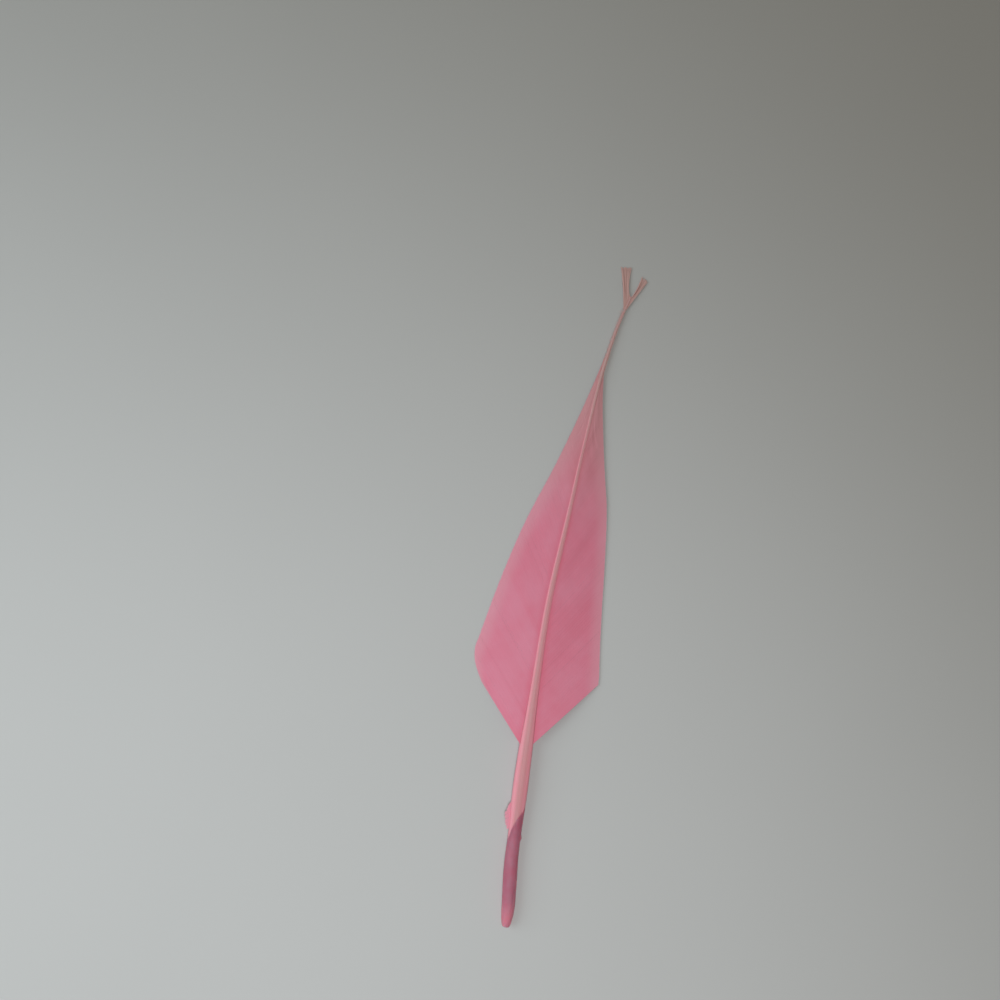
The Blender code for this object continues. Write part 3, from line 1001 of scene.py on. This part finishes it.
def plume_sheet(plume, row, out):
    """A quadratic curve from the root, bent towards a middle point, to a place on the cut."""
    inward = row if plume["side"] < 0 else 1 - row
    root_along = PLUME_ROOTS_FROM + PLUME_ROOTS_LENGTH * inward
    root = (smooth(SHAFT_BOW, root_along) + plume["side"] * shaft_width(root_along) / 2.4, root_along)
    start, end = np.array(plume["tips"])
    spread = PLUME_SPREAD * (row - 0.5)
    ragged = PLUME_RAGGED * wander(row, 0.11, 61 + plume["side"])
    points = []
    for axis in (0, 1):
        tip = start[axis] + (end[axis] - start[axis]) * row + ragged * axis
        turned = plume["turned"][axis] + spread * (1 - axis)
        points.append(root[axis] * (1 - out) ** 2 + 2 * turned * out * (1 - out) + tip * out**2)
    bulge = PLUME_ARCH * np.sin(np.pi * out) * (1 + wander(row, 0.15, 63))
    height = smooth(SHAFT_ARCH, root_along) * (1 - out) + PLUME_REST * out + bulge
    return place(points[0], points[1], height)


plume_end = plume_sheet(LEFT_PLUME, np.full(1, 0.5), np.ones(1))[0]
print("the middle of the left plume's cut is at, mm:", (1000 * (plume_end - ORIGIN)).round(1))

# %% The two plumes
PLUME_LOOSENESS = {"web": (0.9, 0.7), "keel": (0.4, 0.2), "cut_jitter": 0.00018}
PLUME_STEPS = 18
for name, plume, replaced, count in (
    ("left_plume_barbs", LEFT_PLUME, "tip_tuft_left", 15),
    ("right_plume_barbs", RIGHT_PLUME, "tip_tuft_right", 12),
):
    sheet = partial(plume_sheet, plume)
    piece = barb_web(name, sheet, count, PLUME_STEPS, 70 + count, **PLUME_LOOSENESS)
    piece.data.materials.append(tuft_finish)
    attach(piece, "root")
    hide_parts(replaced)

# %% [markdown]
# ## The floor
#
# The feather lies on a plain pale sheet. It reaches far past the picture, so that its border never
# shows, and it takes only the light, with tones that hardly change.

# %% Floor
FLOOR_REACH = 3.0
FLOOR_LIGHT, FLOOR_DEEP, FLOOR_PATCH = (0.494, 0.496, 0.486), (0.478, 0.480, 0.470), 0.30
mesh = bpy.data.meshes.new("floor")
corners = [(-FLOOR_REACH, -FLOOR_REACH, 0), (FLOOR_REACH, -FLOOR_REACH, 0)]
corners += [(FLOOR_REACH, FLOOR_REACH, 0), (-FLOOR_REACH, FLOOR_REACH, 0)]
mesh.from_pydata(corners, [], [(0, 1, 2, 3)])
floor = bpy.data.objects.new("floor", mesh)
bpy.context.collection.objects.link(floor)
made, tree, result = new_material("pale sheet")
tone = uneven_dye(tree, FLOOR_PATCH)
sheet_colour = blend_colours(tree, tone, FLOOR_LIGHT, FLOOR_DEEP)
paper = node(tree, "ShaderNodeBsdfPrincipled", {"Base Color": sheet_colour, "Roughness": 0.6})
tree.links.new(paper.outputs[0], result.inputs["Surface"])
mesh.materials.append(made)
print("the floor is", 2 * FLOOR_REACH, "m wide")

# %% [markdown]
# ## Light
#
# Three lights, as in a room by day. A cool lamp high above the feather gives most of the light, and
# its cone points at the lower left, so the sheet gets darker towards the upper right. A soft
# square lamp stands low on the left, as a window would: it lights the left side of the round
# shaft and gives the right one its shade. A dim warm sky fills the rest.

# %% Light
world = bpy.data.worlds.new("studio")
world.use_nodes = True
backdrop = world.node_tree.nodes["Background"].inputs
backdrop["Color"].default_value = (1.0, 0.86, 0.66, 1)
backdrop["Strength"].default_value = 0.20
bpy.context.scene.world = world
bpy.context.scene.view_settings.view_transform = "Standard"


def lamp(name, kind, location, target, power, colour, **settings):
    """A lamp of the given kind at location that faces target, with its settings."""
    data = bpy.data.lights.new(name, kind)
    data.energy, data.color = power, colour
    for setting, value in settings.items():
        setattr(data, setting, value)
    made = bpy.data.objects.new(name, data)
    made.location = location
    made.rotation_euler = (Vector(target) - Vector(location)).to_track_quat("-Z", "Y").to_euler()
    bpy.context.collection.objects.link(made)
    print(name, "lamp:", power, "W at", location)


WINDOW_COLOUR, CEILING_COLOUR = (0.88, 1.00, 1.06), (0.95, 1.00, 1.06)
ceiling = {"shadow_soft_size": 0.12, "spot_size": np.radians(60), "spot_blend": 1.0}
lamp("window", "AREA", (-0.56, -0.06, 0.44), (0, 0, 0), 2.2, WINDOW_COLOUR, size=0.6)
lamp("ceiling", "SPOT", (0, 0, 1.1), (-0.12, -0.36, 0), 31.5, CEILING_COLOUR, **ceiling)

# %% [markdown]
# ## Camera
#
# The camera looks straight down, so nothing is foreshortened, and is turned a little, so that the
# feather leans to the right.

# %% Camera
LEAN = np.radians(11.24)
CAMERA_HEIGHT, LENS = 0.4188, 50.0
LOOKS_AT = place(-0.0266, 0.1253, 0.0)
camera_data = bpy.data.cameras.new("camera")
camera_data.lens = LENS
camera = bpy.data.objects.new("camera", camera_data)
camera.location = (LOOKS_AT[0], LOOKS_AT[1], CAMERA_HEIGHT)
camera.rotation_euler = (0, 0, LEAN)
bpy.context.collection.objects.link(camera)
bpy.context.scene.camera = camera
print("the camera is", CAMERA_HEIGHT, "m above the floor")
